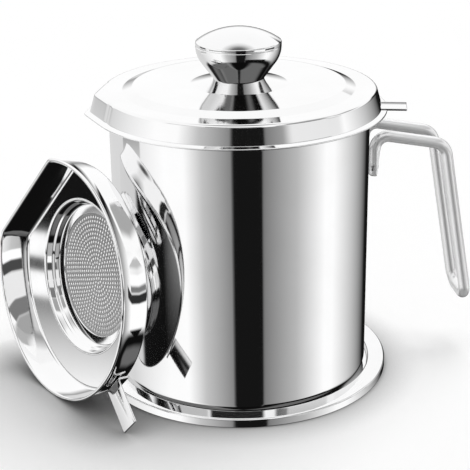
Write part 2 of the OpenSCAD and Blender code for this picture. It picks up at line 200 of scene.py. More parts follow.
def steel(name, colour=0.9, rough=0.045, grain=0.0, lines="round", wave=0.35, spread=0.03,
          metal=1.0):
    """Steel with soft smudges in the gloss, faint polishing lines and a slight wave."""
    material = bpy.data.materials.new(name)
    material.use_nodes = True
    nodes, links = material.node_tree.nodes, material.node_tree.links
    shader = nodes["Principled BSDF"]
    shader.inputs["Metallic"].default_value = metal
    place = nodes.new("ShaderNodeTexCoord")

    # polishing lines run round the axis, or along the piece
    stretch = nodes.new("ShaderNodeMapping")
    if lines == "round":
        split = nodes.new("ShaderNodeSeparateXYZ")
        links.new(place.outputs["Object"], split.inputs[0])
        flat = nodes.new("ShaderNodeCombineXYZ")
        links.new(split.outputs[0], flat.inputs[0])
        links.new(split.outputs[1], flat.inputs[1])
        length = nodes.new("ShaderNodeVectorMath")
        length.operation = "LENGTH"
        links.new(flat.outputs[0], length.inputs[0])
        turn = nodes.new("ShaderNodeMath")
        turn.operation = "ARCTAN2"
        links.new(split.outputs[1], turn.inputs[0])
        links.new(split.outputs[0], turn.inputs[1])
        polar = nodes.new("ShaderNodeCombineXYZ")
        links.new(turn.outputs[0], polar.inputs[0])
        links.new(length.outputs["Value"], polar.inputs[1])
        links.new(split.outputs[2], polar.inputs[2])
        links.new(polar.outputs[0], stretch.inputs["Vector"])
        stretch.inputs["Scale"].default_value = ROUND_LINES
    else:
        links.new(place.outputs["Object"], stretch.inputs["Vector"])
        stretch.inputs["Scale"].default_value = LONG_LINES
    hair = nodes.new("ShaderNodeTexNoise")
    hair.inputs["Scale"].default_value = 1.0
    hair.inputs["Detail"].default_value = 2.0
    links.new(stretch.outputs[0], hair.inputs["Vector"])

    smudge = nodes.new("ShaderNodeTexNoise")
    smudge.inputs["Scale"].default_value = 38
    smudge.inputs["Detail"].default_value = 4
    smudge.inputs["Roughness"].default_value = 0.55
    links.new(place.outputs["Object"], smudge.inputs["Vector"])

    # gloss: base roughness, a little more in the smudges and along the lines
    both = nodes.new("ShaderNodeMath")
    both.operation = "MULTIPLY_ADD"
    links.new(hair.outputs[0], both.inputs[0])
    both.inputs[1].default_value = 0.5
    links.new(smudge.outputs[0], both.inputs[2])
    gloss = nodes.new("ShaderNodeMapRange")
    gloss.inputs["From Min"].default_value = 0.45
    gloss.inputs["From Max"].default_value = 1.05
    gloss.inputs["To Min"].default_value = rough
    gloss.inputs["To Max"].default_value = rough + spread
    links.new(both.outputs[0], gloss.inputs["Value"])
    links.new(gloss.outputs[0], shader.inputs["Roughness"])

    # colour: pale steel, a touch darker in the smudges
    tint = nodes.new("ShaderNodeValToRGB")
    tint.color_ramp.elements[0].position = 0.35
    tint.color_ramp.elements[1].position = 0.75
    tint.color_ramp.elements[0].color = (colour, colour, colour * 1.004, 1)
    tint.color_ramp.elements[1].color = (colour * 0.965, colour * 0.965, colour * 0.965, 1)
    links.new(smudge.outputs[0], tint.inputs[0])
    links.new(tint.outputs[0], shader.inputs["Base Color"])

    # shape: a slow pressing wave and the fine lines
    slow = nodes.new("ShaderNodeTexNoise")
    slow.inputs["Scale"].default_value = 22
    slow.inputs["Detail"].default_value = 1
    links.new(place.outputs["Object"], slow.inputs["Vector"])
    pressed = nodes.new("ShaderNodeBump")
    pressed.inputs["Strength"].default_value = wave
    pressed.inputs["Distance"].default_value = WAVE_DEPTH
    links.new(slow.outputs[0], pressed.inputs["Height"])
    fine = nodes.new("ShaderNodeBump")
    fine.inputs["Strength"].default_value = 0.03 + grain
    fine.inputs["Distance"].default_value = LINE_DEPTH
    links.new(hair.outputs[0], fine.inputs["Height"])
    links.new(pressed.outputs[0], fine.inputs["Normal"])
    links.new(fine.outputs[0], shader.inputs["Normal"])
    return material


def near(material, reach, thin=False):
    """Mirrored in other steel only within reach (metres), so that far pieces stay clean.

    A reach of 0 keeps it out of every mirror image, and a thin sheet isn't mirrored from
    behind.
    """
    nodes, links = material.node_tree.nodes, material.node_tree.links
    ray, geometry = nodes.new("ShaderNodeLightPath"), nodes.new("ShaderNodeNewGeometry")
    far, hidden, share = (nodes.new("ShaderNodeMath") for _ in range(3))
    far.operation, hidden.operation, share.operation = "GREATER_THAN", "MAXIMUM", "MULTIPLY"
    links.new(ray.outputs["Ray Length"], far.inputs[0])
    far.inputs[1].default_value = reach
    links.new(far.outputs[0], hidden.inputs[0])
    hidden.inputs[1].default_value = 0.0
    if thin:
        links.new(geometry.outputs["Backfacing"], hidden.inputs[1])
    links.new(ray.outputs["Is Glossy Ray"], share.inputs[0])
    links.new(hidden.outputs[0], share.inputs[1])
    both = nodes.new("ShaderNodeMixShader")
    links.new(share.outputs[0], both.inputs[0])
    links.new(nodes["Principled BSDF"].outputs[0], both.inputs[1])
    links.new(nodes.new("ShaderNodeBsdfTransparent").outputs[0], both.inputs[2])
    links.new(both.outputs[0], nodes["Material Output"].inputs["Surface"])
    return material


POT = near(steel("pot_steel_polished", 0.93, 0.035), reach=0.012)
LID = steel("lid_steel_polished", 0.93, 0.05)
KNOB = near(steel("knob_steel_polished", 0.93, 0.07, wave=0.1), reach=0.075)
ROD = steel("rod_steel_satin", 0.96, 0.2, lines="along", wave=0.2, spread=0.06, metal=0.55)
TRAY = steel("tray_steel_polished", 0.92, 0.05)
BOWL = near(steel("strainer_steel_polished", 0.94, 0.03, lines="along", wave=0.1),
            reach=0.08, thin=True)
BOWL_IN = near(steel("strainer_steel_inside", 0.94, 0.03, lines="along", wave=0.05), reach=0.0)
TAB = near(steel("tab_steel_polished", 0.94, 0.09, lines="along", wave=0.2), reach=0.08)
MESH = steel("mesh_steel_punched", 0.5, 0.3, lines="along", wave=0.1)
WELD = steel("weld_steel_rough", 0.75, 0.22, 0.4, lines="along", wave=0.9, spread=0.15)
PLAIN = steel("hidden_steel_satin", 0.80, 0.2, 0.2, spread=0.1)

# ------------------------------------------------------------------ tray

outline = rounded([
    (0, 0), (RECESS_R + TRAY_SHEET, 0, 0.3), (RECESS_R + TRAY_SHEET, TRAY_H - TRAY_SHEET, 0.3),
    (TRAY_R - TRAY_SHEET, TRAY_H - TRAY_SHEET, 0.3), (TRAY_R - TRAY_SHEET, 0, 0.15),
    (TRAY_R, 0, 0.3), (TRAY_R, TRAY_H, 0.9), (RECESS_R, TRAY_H, 0.8),
    (RECESS_R, TRAY_SHEET, 0.6), (0, TRAY_SHEET)])
build("tray_dish", *loft(turned(outline)), "tray", "tray_steel", TRAY, ["tray"])


# ------------------------------------------------------------------ pot

TIP_SOFT, GROOVE_HALF = 1.0, 1.7  # degrees


def beak(r, share, angles, groove=0.0):
    """Radius of a round edge with a straight-sided spout towards -X.

    share is how far the edge follows the spout, groove the depth of the crease at its sides.
    """
    t = np.degrees(np.abs(np.arctan2(np.sin(angles - math.pi), np.cos(angles - math.pi))))
    soft = np.sqrt(t ** 2 + TIP_SOFT ** 2)
    out = r / np.cos(np.radians(np.clip(SPOUT_HALF - soft, 0, None)))
    out = out - groove * np.exp(-((t - SPOUT_HALF) / GROOVE_HALF) ** 2)
    return r + share * (out - r)


BEAK_ANGLES = np.radians(np.unique(np.round(np.concatenate([
    np.arange(0, 360, 1.0), np.arange(155, 205, 0.5), np.arange(176, 184, 0.25)]), 3)))
FLANGE_EDGE = 0.6


def pot_radius(r, angles):
    """Round at the neck, with the whole spout from the flange's edge outwards."""
    share = np.clip((r - POT_R - NECK_R) / (FLANGE_R - FLANGE_EDGE - POT_R - NECK_R), 0, 1)
    return beak(r, share, angles)


outer = [(0, POT_Z)] + arc(POT_R - CORNER_R, POT_Z + CORNER_R, CORNER_R, -90, 0, 10) \
    + arc(POT_R + NECK_R, FLANGE_Z - POT_SHEET - NECK_R, NECK_R, 180, 90, 8)
edge = rounded([(POT_R + NECK_R + 1, FLANGE_Z - POT_SHEET), (FLANGE_R, FLANGE_Z - POT_SHEET, 0.3),
                (FLANGE_R, FLANGE_Z, 0.35), (POT_R + NECK_R + 1, FLANGE_Z)])
inner = arc(POT_R + NECK_R, FLANGE_Z - POT_SHEET - NECK_R, NECK_R + POT_SHEET, 90, 180, 8) \
    + arc(POT_R - CORNER_R, POT_Z + CORNER_R, CORNER_R - POT_SHEET, 0, -90, 10) \
    + [(0, POT_Z + POT_SHEET)]
build("pot_can", *loft(turned(outer + edge + inner, pot_radius, BEAK_ANGLES)),
      "pot", "pot_steel", POT, ["pot_body"])

# ------------------------------------------------------------------ handle

WALL_R, OUTER_R, FOOT_R = 6.0, 8.0, 7.0
RUN, SLOPE, LEG, LEAN, STUB, STUB_T = 21.6, 10.8, 67.5, 9.8, 13.0, 3.6
SIDES, STUB_STEPS, BEND_STEPS, TIP_STEPS = 40, 13, 14, 4
TIP_ROUND, FOOT_WIDER, FOOT_SOFT = 1.4, 0.12, 0.5
stub_x = math.sqrt((POT_R + ROD_R) ** 2 - (ROD_SPACING / 2) ** 2)
run_angle = 90 - SLOPE
run_dir = (math.cos(math.radians(SLOPE)), -math.sin(math.radians(SLOPE)))
bend_a = (stub_x + WALL_R, HANDLE_Z)
start = (bend_a[0] - WALL_R * run_dir[1], bend_a[1] + WALL_R * run_dir[0])
end = (start[0] + RUN * run_dir[0], start[1] + RUN * run_dir[1])
bend_b = (end[0] + OUTER_R * run_dir[1], end[1] - OUTER_R * run_dir[0])
lean_dir = (math.sin(math.radians(LEAN)), -math.cos(math.radians(LEAN)))
leg_start = (bend_b[0] - OUTER_R * lean_dir[1], bend_b[1] + OUTER_R * lean_dir[0])
leg_end = (leg_start[0] + LEG * lean_dir[0], leg_start[1] + LEG * lean_dir[1])

# the rod's middle line as (x, z, direction, how far it is pressed flat): stub, then two bends
path = []
for i in range(STUB_STEPS):
    share = 1 - i / STUB_STEPS
    path.append((stub_x, HANDLE_Z - STUB * share, 90, share))
for (bend_x, bend_z), bend_r, first, last in ((bend_a, WALL_R, 180, run_angle),
                                              (bend_b, OUTER_R, run_angle, LEAN)):
    for i in range(BEND_STEPS + 1):
        a = first - (first - last) * i / BEND_STEPS
        path.append((bend_x + bend_r * math.cos(math.radians(a)),
                     bend_z + bend_r * math.sin(math.radians(a)), a - 90, 0))

around = np.radians(np.arange(SIDES) * 360 / SIDES)


def leg_ring(x0, z0, direction, share, scale=1.0):
    """A ring round the rod in the plane of its leg, pressed flat on the outside by share."""
    d = math.radians(direction)
    out = ROD_R * np.sin(around) * scale
    x, z = x0 - out * math.sin(d), z0 + out * math.cos(d)
    y = ROD_SPACING / 2 + ROD_R * np.cos(around) * scale * (1 + FOOT_WIDER * share)
    if share > 0:
        limit = x0 + ROD_R - (2 * ROD_R - STUB_T) * share ** 0.7
        over = np.clip(x - (limit - FOOT_SOFT), 0, None)
        x = np.where(over > 0, limit - FOOT_SOFT + FOOT_SOFT * (1 - np.exp(-over / FOOT_SOFT)), x)
    return np.stack([x, y, z], 1)


def foot_ring(turn):
    """A ring round the rod in the bend that joins the two legs."""
    t = math.radians(turn)
    r = FOOT_R + ROD_R * np.cos(around)
    down, out = r * math.sin(t), ROD_R * np.sin(around)
    return np.stack([leg_end[0] + down * lean_dir[0] - out * lean_dir[1],
                     ROD_SPACING / 2 - FOOT_R + r * math.cos(t),
                     leg_end[1] + down * lean_dir[1] + out * lean_dir[0]], 1)


# half the loop, from its rounded tip, which takes the place of the stub's first two rings
tip_z = HANDLE_Z - STUB
half = []
for i in range(TIP_STEPS + 1):
    a = math.radians(90 * i / TIP_STEPS)
    half.append(leg_ring(stub_x, tip_z + TIP_ROUND * (1 - math.cos(a)), 90, 1,
                         max(0.05, math.sin(a))))
half += [leg_ring(*p) for p in path[2:]]
half += [foot_ring(90 * i / BEND_STEPS) for i in range(BEND_STEPS + 1)]
mirror = [h * np.array([1, -1, 1]) for h in half]
build("handle_loop", *tube(half + mirror[::-1]), "pot", "handle_steel", ROD, ["handle_rod"],
      sharp=60)

WELD_RADII, WELD_OUT, WELD_DOWN, WELD_SEED = (3.1, 3.6, 2.1), 2.4, 7.8, 5


def bead(centre, axes, radii, seed):
    """A lumpy weld bead: a rounded mound whose surface rises and falls in slow ripples."""
    rings, n, m = [], 14, 28
    rng = np.random.default_rng(seed)
    phase = rng.uniform(0, 6.28, 6)
    for i in range(n + 1):
        v = math.pi * i / n
        ring = []
        for k in range(m):
            u = 2 * math.pi * k / m
            d = np.array([math.sin(v) * math.cos(u), math.sin(v) * math.sin(u), math.cos(v)])
            lump = 1 + 0.06 * math.sin(3 * u + phase[0] + 2 * v) + 0.05 * math.sin(
                5 * v + phase[1] + 2 * u) + 0.03 * math.sin(7 * u + phase[2])
            ring.append(np.array(centre) + sum(a * r * c * lump
                                               for a, r, c in zip(axes, radii, d)))
        rings.append(np.array(ring))
    faces = [(i * m + k, i * m + (k + 1) % m, (i + 1) * m + (k + 1) % m, (i + 1) * m + k)
             for i in range(n) for k in range(m)]
    return [point for ring in rings for point in ring], faces


verts, faces = [], []
for side in (-1, 1):
    a = side * math.asin(ROD_SPACING / 2 / (POT_R + ROD_R))
    out = np.array([math.cos(a), math.sin(a), 0])
    along = np.array([-math.sin(a), math.cos(a), 0])
    up = np.array([0, 0, 1.0])
    centre = out * (POT_R + WELD_OUT) + up * (HANDLE_Z - WELD_DOWN)
    bead_verts, bead_faces = bead(centre, (along, up, out), WELD_RADII, WELD_SEED + side)
    faces += [tuple(len(verts) + i for i in face) for face in bead_faces]
    verts += bead_verts
build("handle_weld_beads", verts, faces, "pot", "weld_steel", WELD, ["handle_welds"], sharp=80)


# ------------------------------------------------------------------ lid

SKIRT_SLOPE, BEAK_START, GROOVE, SCREW_HOLE = 10, 3, 0.35, 2.2


def lid_radius(r, angles):
    """Round up to the step, with the whole spout and its creases at the lid's edge."""
    start = STEP_OUT + BEAK_START
    share = float(np.clip((r - start) / (LID_R - LID_ROUND - start), 0, 1))
    return beak(r, share, angles, GROOVE * share)


# the top side from the skirt's lower edge to the screw's hole, then the underside back out
slope = math.radians(SKIRT_SLOPE)
outer = rounded([(SKIRT_R - LID_SHEET, SKIRT_Z), (SKIRT_R, SKIRT_Z, 0.3),
                 (LID_R - LID_ROUND + LID_ROUND * math.cos(slope),
                  LID_Z - LID_ROUND + LID_ROUND * math.sin(slope))])[1:-1]
outer += arc(LID_R - LID_ROUND, LID_Z - LID_ROUND, LID_ROUND, SKIRT_SLOPE, 90, 8)
rise = rounded([(STEP_OUT + 3.2, LID_Z), (STEP_OUT, LID_Z, 2.2), (STEP_IN, PLATEAU_Z, 2.2),
                (BOSS_R, PLATEAU_Z, 3.0), (KNOB_FOOT, BOSS_Z, 1.0), (SCREW_HOLE, BOSS_Z),
                (SCREW_HOLE, BOSS_Z - 1)])[:-1]
upper = outer + rise
under = [(r - (LID_SHEET if z < LID_Z - 0.1 else 0), z - LID_SHEET)
         for r, z in upper if z - LID_SHEET > SKIRT_Z + 0.5]
under = [(SKIRT_R - LID_SHEET, SKIRT_Z + 0.02)] + under
outline = upper + under[::-1]
lid = build("lid_pressing", *loft(turned(outline, lid_radius, BEAK_ANGLES)),
            "lid", "lid_steel", LID, ["lid_shell"], sharp=40)

# the notch in the skirt for the fitted strainer's tab
NOTCH_X, NOTCH_L, NOTCH_GAP, NOTCH_H, NOTCH_BELOW = 68, 20, 0.8, 2.8, 1
bpy.ops.mesh.primitive_cube_add(size=1)
cutter = bpy.context.object
turn = Matrix.Rotation(math.radians(STRAINER_TURN), 4, "Z")
cutter.data.transform(turn @ Matrix.Translation(
    Vector((NOTCH_X, 0, SKIRT_Z - NOTCH_BELOW + NOTCH_H / 2)) * MM) @ Matrix.Diagonal(
        Vector((NOTCH_L * MM, (TAB_W + 2 * NOTCH_GAP) * MM, NOTCH_H * MM, 1))))
cut = lid.modifiers.new("notch", "BOOLEAN")
cut.object, cut.operation, cut.solver = cutter, "DIFFERENCE", "EXACT"
bpy.context.view_layer.objects.active = lid
bpy.ops.object.modifier_apply(modifier="notch")
bpy.data.objects.remove(cutter)
lid.data.set_sharp_from_angle(angle=math.radians(40))

# ------------------------------------------------------------------ knob

SHOULDER_TURN, CAP_SHEET = 35, 0.9

cone = [(0, BOSS_Z), (KNOB_FOOT - 0.25, BOSS_Z), (KNOB_FOOT, BOSS_Z + 0.2)]
cone += arc(KNOB_R - SHOULDER, SEAM_Z, SHOULDER, -SHOULDER_TURN, 0, 14)[:-1]
cone += [(KNOB_R, SEAM_Z - 0.25), (KNOB_R - 0.2, SEAM_Z), (0, SEAM_Z)]
build("knob_cone_turned", *loft(turned(cone)), "lid", "knob_steel", KNOB, ["knob_cone"])

dome_h = CAP_H - CAP_EDGE
ball = (KNOB_R ** 2 + dome_h ** 2) / (2 * dome_h)
top_angle = math.degrees(math.asin(KNOB_R / ball))
dome = arc(0, SEAM_Z + CAP_H - ball, ball, 90 - top_angle, 90, 26)
cap = rounded([(KNOB_R - CAP_SHEET, SEAM_Z), (KNOB_R, SEAM_Z, 0.25),
               (KNOB_R, SEAM_Z + CAP_EDGE, 0.7), dome[3]])[:-1] + dome[3:]
cap += [(0, SEAM_Z + CAP_H - CAP_SHEET)]
cap += arc(0, SEAM_Z + CAP_H - CAP_SHEET - ball, ball, 90, 90 - top_angle + 3, 12)
cap += [(KNOB_R - CAP_SHEET, SEAM_Z + CAP_EDGE)]
build("knob_cap_dome", *loft(turned(cap)), "lid", "knob_cap_steel", KNOB, ["knob_cap"])

# ------------------------------------------------------------------ strainers

FINE = np.radians(np.arange(0, 360, 0.5))
FACET_SOFT, WALL_CORNER, WALL_START, WALL_END = 0.45, 1.8, 1.6, 2.0


def wall_ring(r, facet, z):
    """A ring round the bowl: a circle with one flat side towards -X, corners slightly soft."""
    rr = np.full(len(FINE), float(r))
    if facet is not None:
        c = np.cos(FINE - math.pi)
        flat = np.where(c > 0.05, facet / np.maximum(c, 0.05), 1e3)
        rr = np.minimum(rr, flat) - FACET_SOFT * np.log1p(np.exp(-np.abs(rr - flat) / FACET_SOFT))
    return np.stack([rr * np.cos(FINE), rr * np.sin(FINE), np.full(len(FINE), z)], 1)


def plane(z):
    """Distance of the flat side's outside at height z."""
    return FACET_TOP + (FACET_TOP - FACET_FOOT) * z / BOWL_DEPTH


def wall(share, inset):
    """A ring part way up the bowl's wall, on its outside or set in by the sheet."""
    z = -BOWL_DEPTH + WALL_START + share * (BOWL_DEPTH - WALL_START - WALL_END)
    r = BOWL_FOOT + (RIM_R - BEAD_R - BOWL_FOOT) * (z + BOWL_DEPTH) / (BOWL_DEPTH - BEAD_R)
    return wall_ring(r - inset, plane(z) - inset, z)


def bowl_rings():
    """The bowl's skin: up the outside from the window, over the rolled rim and back inside."""
    rings = []
    bottom, t = -BOWL_DEPTH, BOWL_SHEET
    floor = bottom - CUP_DEPTH
    side = [(CUP_R, bottom), (CUP_R - CUP_STEP / 2, bottom - CUP_DEPTH / 2),
            (CUP_FLOOR + CUP_STEP / 2, bottom - CUP_DEPTH / 2 - CUP_STEP), (CUP_FLOOR, floor)]
    # outside, from the window up to the ledge
    low = rounded([(WINDOW_R, floor + t), (WINDOW_R, floor, 0.1), (CUP_FLOOR, floor, 1.2),
                   (side[2][0], side[2][1], 0.6), (side[1][0], side[1][1], 0.6),
                   (CUP_R, bottom, 0.5), (CUP_R + 4, bottom)])[1:-1]
    rings += [wall_ring(r, None, z) for r, z in low]
    flat = [(CUP_R + 1, None), (BOWL_FOOT - 2.1, plane(bottom) - 2.1)]
    rings += [wall_ring(r, facet, bottom) for r, facet in flat]
    # corner of ledge and wall, outside
    for x, z in arc(-WALL_CORNER, bottom + WALL_CORNER, WALL_CORNER, -90, -5, 7):
        rings.append(wall_ring(BOWL_FOOT + x, plane(bottom) + x, z))
    rings += [wall(share, 0) for share in (0.35, 0.7)]
    # rolled rim
    centre = RIM_R - BEAD_R
    for a in np.linspace(-60, 200, 15):
        x = BEAD_R * math.cos(math.radians(a))
        z = -BEAD_R + BEAD_R * math.sin(math.radians(a))
        rings.append(wall_ring(centre + x, FACET_TOP - BEAD_R + x, z))
    # inside, back down
    rings += [wall(share, t) for share in (0.7, 0.35)]
    inner = WALL_CORNER - t
    for x, z in arc(-inner - t, bottom + t + inner, inner, -5, -90, 7):
        rings.append(wall_ring(BOWL_FOOT + x, plane(bottom) + x, z))
    rings += [wall_ring(r, facet, bottom + t) for r, facet in flat[::-1]]
    low = rounded([(CUP_R + 4, bottom + t), (CUP_R - t, bottom + t, 0.9),
                   (side[1][0] - t, side[1][1] + t, 0.7), (side[2][0] - t, side[2][1] + t, 0.7),
                   (CUP_FLOOR - t, floor + t, 0.8), (WINDOW_R, floor + t, 0.1),
                   (WINDOW_R, floor)])[1:-1]
    return rings + [wall_ring(r, None, z) for r, z in low]


def punched():
    """A thin disc punched with rings of round holes."""
    pitch, hole, sides, rim = 1.95, 0.7, 12, 96
    centres = [(0.0, 0.0)]
    ring = 1
    while ring * pitch < WINDOW_R - 0.8:
        count = 6 * ring
        centres += [(ring * pitch * math.cos(2 * math.pi * i / count),
                     ring * pitch * math.sin(2 * math.pi * i / count)) for i in range(count)]
        ring += 1
    points, edges, loops = [], [], []
    for i in range(rim):
        a = 2 * math.pi * i / rim
        points.append(Vector((MESH_R * math.cos(a), MESH_R * math.sin(a))))
        edges.append((i, (i + 1) % rim))
    for x, y in centres:
        first = len(points)
        for k in range(sides):
            a = 2 * math.pi * (k + 0.5) / sides
            points.append(Vector((x + hole * math.cos(a), y + hole * math.sin(a))))
            edges.append((first + k, first + (k + 1) % sides))
        loops.append(list(range(first, first + sides)))
    flat, _, triangles, sources, _, _ = delaunay_2d_cdt(points, edges, [], 0, 1e-6)
    back = {old: new for new, olds in enumerate(sources) for old in olds}
    # a triangle whose corners all lie on one hole's edge fills that hole and is left out
    owner = {back[i]: hole_index for hole_index, loop in enumerate(loops) for i in loop}
    keep = []
    for face in triangles:
        owners = {owner.get(i, -1) for i in face}
        if len(owners) > 1 or -1 in owners:
            keep.append(face)
    top_z, n = -(BOWL_DEPTH + CUP_DEPTH), len(flat)
    verts = [(x, y, z) for z in (top_z, top_z - MESH_T) for x, y in flat]
    faces = [tuple(f) for f in keep] + [tuple(i + n for i in reversed(f)) for f in keep]
    for loop in loops + [list(range(rim))]:
        ids = [back[i] for i in loop]
        for a, b in zip(ids, ids[1:] + ids[:1]):
            faces.append((a, b, b + n, a + n))
    return verts, faces


def tab_skin():
    """The lifting tab: a bent strip with rounded edges, its foot against the bowl's wall."""
    taper = (RIM_R - BEAD_R - BOWL_FOOT) / (BOWL_DEPTH - BEAD_R)
    foot_x = RIM_R - BEAD_R - taper * (TAB_DROP - TAB_T - BEAD_R) + 0.1
    z0, z1 = -TAB_DROP, -TAB_DROP + TAB_T
    outline = rounded([
        (foot_x, z1, 1.6), (foot_x, z1 - TAB_FOOT, 0.2), (foot_x + TAB_T, z1 - TAB_FOOT, 0.2),
        (foot_x + TAB_T, z0, 0.6), (TAB_TIP, z0, 0.25), (TAB_TIP, z1, 0.25)], 5)
    rings, side, edge = [], TAB_W / 2, 0.22
    pts = np.array(outline)
    nxt, prv = np.roll(pts, -1, 0), np.roll(pts, 1, 0)
    tangent = nxt - prv
    tangent /= np.linalg.norm(tangent, axis=1)[:, None]
    normal = np.stack([-tangent[:, 1], tangent[:, 0]], 1)
    area = 0.5 * np.sum(pts[:, 0] * nxt[:, 1] - nxt[:, 0] * pts[:, 1])
    if area < 0:
        normal = -normal
    for y, inset in ((-side, edge), (-side + 0.3 * edge, 0.3 * edge), (-side + edge, 0),
                     (side - edge, 0), (side - 0.3 * edge, 0.3 * edge), (side, edge)):
        p = pts + normal * inset
        rings.append(np.stack([p[:, 0], np.full(len(p), y), p[:, 1]], 1))
    return tube(rings)


bowl_skin = loft(bowl_rings())
mesh_verts, mesh_faces = punched()
tab_verts, tab_faces = tab_skin()
clamp_z, clamp_t = -(BOWL_DEPTH + CUP_DEPTH) - MESH_T, 0.6
clamp = loft(turned(rounded([
    (WINDOW_R, clamp_z - clamp_t, 0.15), (CUP_FLOOR, clamp_z - clamp_t, 0.25),
    (CUP_FLOOR, clamp_z, 0.1), (WINDOW_R, clamp_z, 0.1)]), angles=ANGLES[::2]))

fitted = Matrix.Translation(Vector((0, 0, RIM_Z)) * MM) @ Matrix.Rotation(
    math.radians(STRAINER_TURN), 4, "Z")
# the standing strainer rests on its rim and on a corner of its tab
lean = math.radians(STAND_LEAN)
stand_z = BEAD_R * (1 + math.sin(lean)) + (RIM_R - BEAD_R) * math.cos(lean)
corner_r = math.hypot(TAB_TIP, TAB_W / 2)
roll = math.asin((stand_z - TAB_DROP * math.sin(lean)) / (corner_r * math.cos(lean))) \
    - math.atan2(TAB_W / 2, TAB_TIP)
standing = Matrix.Rotation(math.radians(STAND_FACING), 4, "Z") @ Matrix.Translation(
    Vector((STAND_OUT, -STAND_SIDE, stand_z)) * MM) @ Matrix.Rotation(
        math.pi / 2 - lean, 4, "Y") @ Matrix.Rotation(math.pi / 2 - roll, 4, "Z")

for body, place in (("fitted_strainer", fitted), ("standing_strainer", standing)):
    bowl = build(body + "_pressing", *bowl_skin, body, "strainer_steel", BOWL,
                 [body + "_bowl"], sharp=50, place=place)
    bowl.data.materials.append(BOWL_IN)
    # the skin's inner side, by its direction in the bowl's own axes
    back = place.inverted()
    for face in bowl.data.polygons:
        middle = back @ face.center / MM
        normal = back.to_3x3() @ face.normal
        out = Vector((middle.x, middle.y, 0)).normalized()
        face.material_index = int(normal.z > 0.3 or normal.dot(out) < -0.3)
    build(body + "_punched_disc", mesh_verts, mesh_faces, body, "mesh_steel", MESH,
          [body + "_mesh"], place=place)
    build(body + "_clamp", *clamp, body, "mesh_ring_steel", BOWL, [body + "_mesh_ring"],
          place=place)
    build(body + "_lift_tab", tab_verts, tab_faces, body, "tab_steel", TAB, [body + "_tab"],
          sharp=50, place=place)

# ------------------------------------------------------------------ carried-over frame pieces

for name, material in (("strainer_seat_ring", PLAIN), ("knob_screw", PLAIN),
                       ("knob_washer", PLAIN), ("fitted_strainer_tab_welds", WELD),
                       ("standing_strainer_tab_welds", WELD)):
    for slot in frame["nodes"][name].material_slots:
        slot.material = material

# only these pieces are mirrored in the others
mirrored = ("knob_cone_turned", "knob_cap_dome", "pot_can", "standing_strainer_pressing",
            "standing_strainer_lift_tab")
for piece in bpy.context.scene.objects:
    if piece.type == "MESH":
        piece.visible_glossy = piece.name in mirrored

# ------------------------------------------------------------------ floor

# the last colour here is the painted contact shadow in the floor, and the next line sets its
# reach and strength
FLOOR_SIZE, PALE, PALER, PAINTED_SHADOW = 12, (0.965,) * 3 + (1,), (0.975,) * 3 + (1,), (0.02,) * 3 + (1,)
PAINTED_SHADOW_REACH, PAINTED_SHADOW_POWER, CAMERA_LIFT = 0.03, 1.6, 0.03

bpy.ops.mesh.primitive_plane_add(size=FLOOR_SIZE, location=(0, 0, 0))
floor = bpy.context.object
floor.name = "floor"
white = bpy.data.materials.new("floor_white")
white.use_nodes = True
nodes, links = white.node_tree.nodes, white.node_tree.links
paper = nodes["Principled BSDF"]
paper.inputs["Roughness"].default_value = 0.9
paper.inputs["Specular IOR Level"].default_value = 0.0
speck = nodes.new("ShaderNodeTexNoise")
speck.inputs["Scale"].default_value = 60
pale = nodes.new("ShaderNodeValToRGB")
pale.color_ramp.elements[0].color = PALE
pale.color_ramp.elements[1].color = PALER
links.new(speck.outputs[0], pale.inputs[0])
# painted contact shadow: the floor's colour is darkened towards near black where a piece nearly
# touches it, standing in for shade
painted_shadow_ao = nodes.new("ShaderNodeAmbientOcclusion")
painted_shadow_ao.inputs["Distance"].default_value = PAINTED_SHADOW_REACH
links.new(pale.outputs[0], painted_shadow_ao.inputs["Color"])
painted_shadow_share = nodes.new("ShaderNodeMath")
painted_shadow_share.operation = "POWER"
painted_shadow_share.inputs[1].default_value = PAINTED_SHADOW_POWER
links.new(painted_shadow_ao.outputs["AO"], painted_shadow_share.inputs[0])
shade = nodes.new("ShaderNodeMix")
shade.data_type = "RGBA"
shade.inputs[6].default_value = PAINTED_SHADOW
links.new(painted_shadow_share.outputs[0], shade.inputs[0])
links.new(pale.outputs[0], shade.inputs[7])
links.new(shade.outputs[2], paper.inputs["Base Color"])
paper.inputs["Emission Color"].default_value = (1, 1, 1, 1)
seen = nodes.new("ShaderNodeLightPath")
lift = nodes.new("ShaderNodeMath")
lift.operation = "MULTIPLY"
lift.inputs[1].default_value = CAMERA_LIFT
links.new(seen.outputs["Is Camera Ray"], lift.inputs[0])
links.new(lift.outputs[0], paper.inputs["Emission Strength"])
floor.data.materials.append(white)
floor.visible_glossy = False

# ------------------------------------------------------------------ studio

# azimuths are turned so that the camera stands at 270; brightness is 0 to 255, times GAIN
CAMERA_TURN, GAIN = -7.5, 1.12
AMBIENT, BACKGROUND = 0.5, 1.0

world = bpy.data.worlds.new("studio")
bpy.context.scene.world = world
world.use_nodes = True
nodes, links = world.node_tree.nodes, world.node_tree.links
nodes.clear()
output = nodes.new("ShaderNodeOutputWorld")
where = nodes.new("ShaderNodeTexCoord")
parts = nodes.new("ShaderNodeSeparateXYZ")
links.new(where.outputs["Generated"], parts.inputs[0])


def feed(socket, value):
    """Set a socket to a number, or link another node's output to it."""
    if isinstance(value, (int, float)):
        socket.default_value = value
    else:
        links.new(value, socket)


def calc(operation, *values):
    """A math node."""
    node = nodes.new("ShaderNodeMath")
    node.operation = operation
    for socket, value in zip(node.inputs, values):
        feed(socket, value)
    return node.outputs[0]


def step(value, lo, hi):
    """0 below lo, 1 above hi, smooth between."""
    node = nodes.new("ShaderNodeMapRange")
    node.interpolation_type = "SMOOTHSTEP"
    node.inputs["From Min"].default_value = lo
    node.inputs["From Max"].default_value = hi
    links.new(value, node.inputs["Value"])
    return node.outputs[0]


def between(value, start, stop, blur):
    """1 between start and stop, with both ends blurred to each side."""
    return calc("MULTIPLY", step(value, start - blur, start + blur),
                calc("SUBTRACT", 1.0, step(value, stop - blur, stop + blur)))


